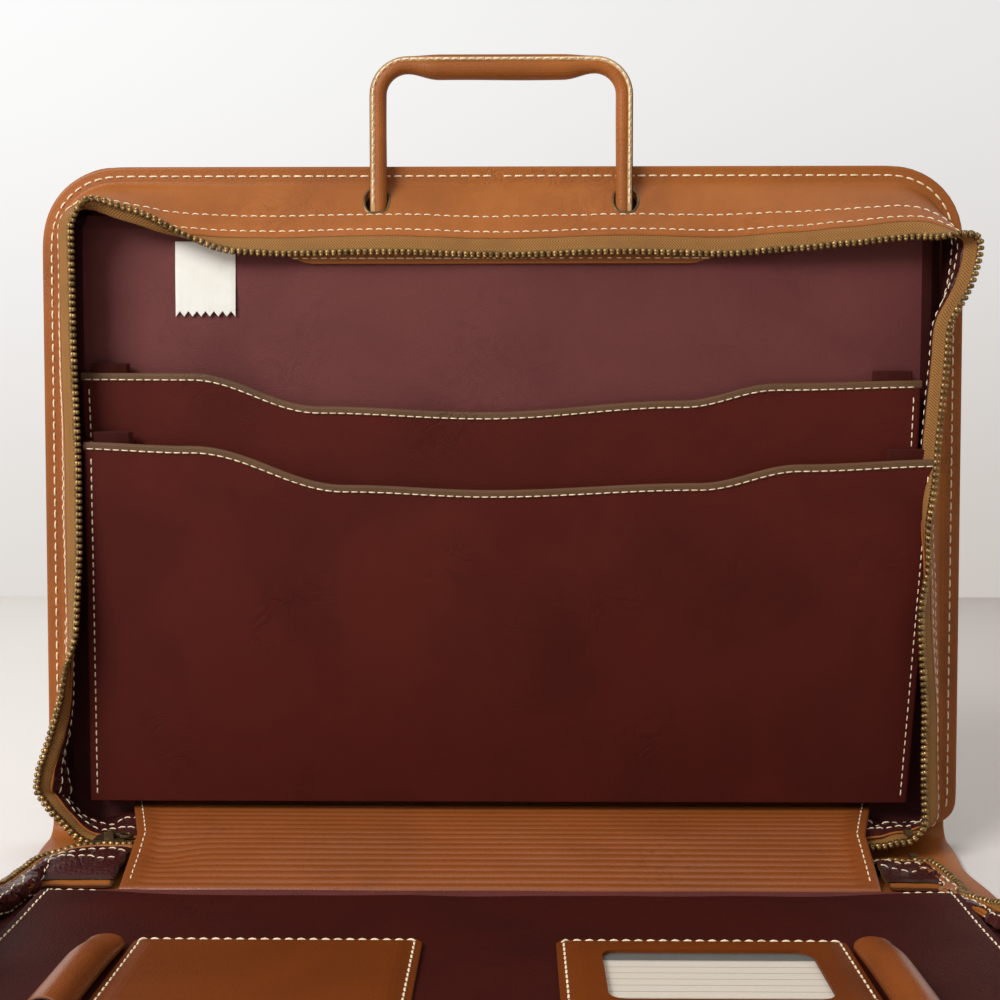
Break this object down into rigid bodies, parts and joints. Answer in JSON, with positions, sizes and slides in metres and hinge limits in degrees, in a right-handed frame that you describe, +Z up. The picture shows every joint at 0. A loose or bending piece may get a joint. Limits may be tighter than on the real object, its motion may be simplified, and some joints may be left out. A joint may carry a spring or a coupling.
{
  "type": "leather briefcase",
  "caption": "Zip-around document briefcase in tan leather, open: one half upright, the other lying flat, with pockets, ribbed spine liner and retractable rolled handles.",
  "frame": {"origin": "on the ground under the middle of the open case's box", "axes": "+X to the right as the picture shows the case, +Y to the rear (the upright half stands at the rear and the lying half reaches forward to -Y), +Z up"},
  "size_m": [0.406, 0.4306, 0.3466],
  "materials": {
    "tan_leather": "semi-gloss smooth cowhide with light creases",
    "burgundy_leather": "soft crinkled lining leather",
    "olive_binding": "matt folded edge binding",
    "webbing": "herringbone woven zip tape",
    "board": "stiff fibre board",
    "label_fabric": "white satin weave",
    "paper": "matt card",
    "antique_brass": "aged, darkened in the hollows",
    "dark_bronze": "dark aged plating",
    "steel": "dull grey plating",
    "clear_film": "clear flexible film"
  },
  "bodies": {
    "spine": {"spine_cover": "tan_leather", "spine_stay": "board", "ribbed_liner": "tan_leather", "back_return_left": "burgundy_leather", "back_return_right": "burgundy_leather", "front_return_left": "burgundy_leather", "front_return_right": "burgundy_leather", "corner_left": "webbing", "corner_right": "webbing", "return_tapes": "webbing", "return_teeth": "antique_brass", "corner_teeth": "antique_brass", "end_stops": "antique_brass"},
    "slider": {"zip_slider": "dark_bronze"},
    "pull": {"zip_pull": "dark_bronze"},
    "back_half": {"back_cover": "tan_leather", "back_board": "board", "back_lining": "burgundy_leather", "back_wall": "tan_leather", "back_wall_lining": "burgundy_leather", "back_tape": "webbing", "back_teeth": "antique_brass", "back_eyelets": "steel", "rear_pocket": "burgundy_leather", "rear_binding": "olive_binding", "rear_gusset_left": "burgundy_leather", "rear_gusset_right": "burgundy_leather", "front_pocket": "burgundy_leather", "front_binding": "olive_binding", "front_gusset_left": "burgundy_leather", "front_gusset_right": "burgundy_leather", "handle_lip": "tan_leather", "label": "label_fabric"},
    "back_grip": {"back_handle": "tan_leather", "back_handle_core": "steel", "back_handle_stops": "steel"},
    "front_half": {"front_cover": "tan_leather", "front_board": "board", "front_lining": "burgundy_leather", "front_wall": "tan_leather", "front_wall_lining": "burgundy_leather", "front_tape": "webbing", "front_teeth": "antique_brass", "front_eyelets": "steel", "document_pocket": "burgundy_leather", "document_binding": "olive_binding", "document_gussets": "burgundy_leather", "card_pocket": "tan_leather", "window_pocket": "tan_leather", "window": "clear_film", "pen_sleeve_left": "tan_leather", "pen_sleeve_right": "tan_leather"},
    "card": {"id_card": "paper"},
    "front_grip": {"front_handle": "tan_leather", "front_handle_core": "steel", "front_handle_stops": "steel"}
  },
  "joints": [
    {"name": "back_fold", "type": "hinge", "parent": "spine", "child": "back_half", "pos_m": [0, 0.21412, 0.0012], "axis": [-1, 0, 0], "range_deg": [0, 90]},
    {"name": "front_fold", "type": "hinge", "parent": "spine", "child": "front_half", "pos_m": [0, 0.13012, 0.0012], "axis": [-1, 0, 0], "range_deg": [0, 90], "deforming": ["corner_left", "corner_right", "corner_teeth"]},
    {"name": "back_handle_slide", "type": "slide", "parent": "back_half", "child": "back_grip", "axis": [0, 0, -1], "range_m": [0, 0.038]},
    {"name": "front_handle_slide", "type": "slide", "parent": "front_half", "child": "front_grip", "axis": [0, 1, 0], "range_m": [0, 0.038]},
    {"name": "zip_slide", "type": "slide", "parent": "spine", "child": "slider", "axis": [-1, 0, 0], "range_m": [0, 0.004]},
    {"name": "pull_swing", "type": "hinge", "parent": "slider", "child": "pull", "pos_m": [-0.1646, 0.17212, 0.0141], "axis": [0, -1, 0], "range_deg": [0, 160]},
    {"name": "card_slide", "type": "slide", "parent": "front_half", "child": "card", "axis": [0, -1, 0.0039], "range_m": [0, 0.055]}
  ]
}
